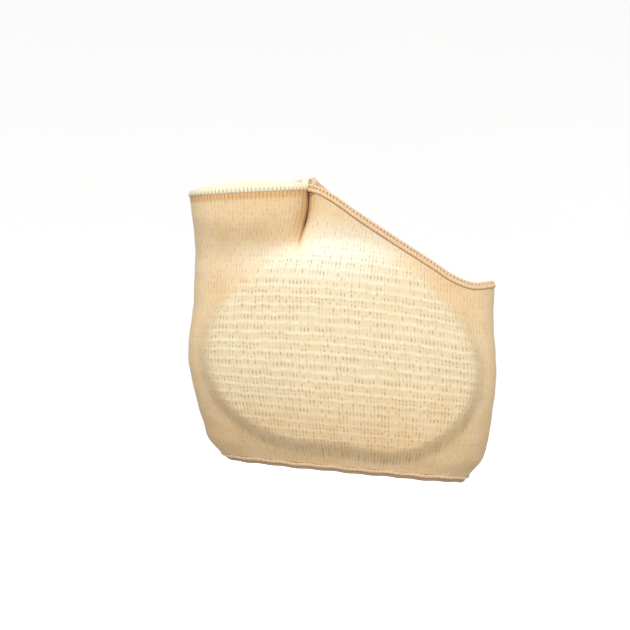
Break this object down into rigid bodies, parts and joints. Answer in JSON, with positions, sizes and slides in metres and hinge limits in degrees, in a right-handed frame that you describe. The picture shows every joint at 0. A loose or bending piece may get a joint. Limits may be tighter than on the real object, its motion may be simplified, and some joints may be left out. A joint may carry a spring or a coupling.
{
  "type": "forefoot bunion protector sleeve",
  "caption": "Knitted elastic forefoot sleeve with a big-toe tube, a slanting opening for the other toes and a gel pad under the ball of the foot.",
  "frame": {"origin": "middle of the foot opening, where the foot goes in; the sleeve is held up there by the foot that wears it", "axes": "+Z from the foot opening towards the toes, -Y out of the sole side, -X towards the big toe of a left foot, +X towards the little toe"},
  "size_m": [0.0968, 0.0446, 0.096],
  "materials": {
    "knit": "beige elastic rib knit",
    "toe_hem": "light beige folded knit hem",
    "four_toe_hem": "overlocked and rolled beige knit hem",
    "foot_hem": "narrow overlocked hem, darker at its edge",
    "gel": "soft, slightly glossy elastomer gel"
  },
  "bodies": {
    "root": {"knit_sleeve": "knit", "toe_hem": "toe_hem", "four_toe_hem": "four_toe_hem", "foot_hem": "foot_hem", "gel_pad": "gel"}
  },
  "joints": []
}
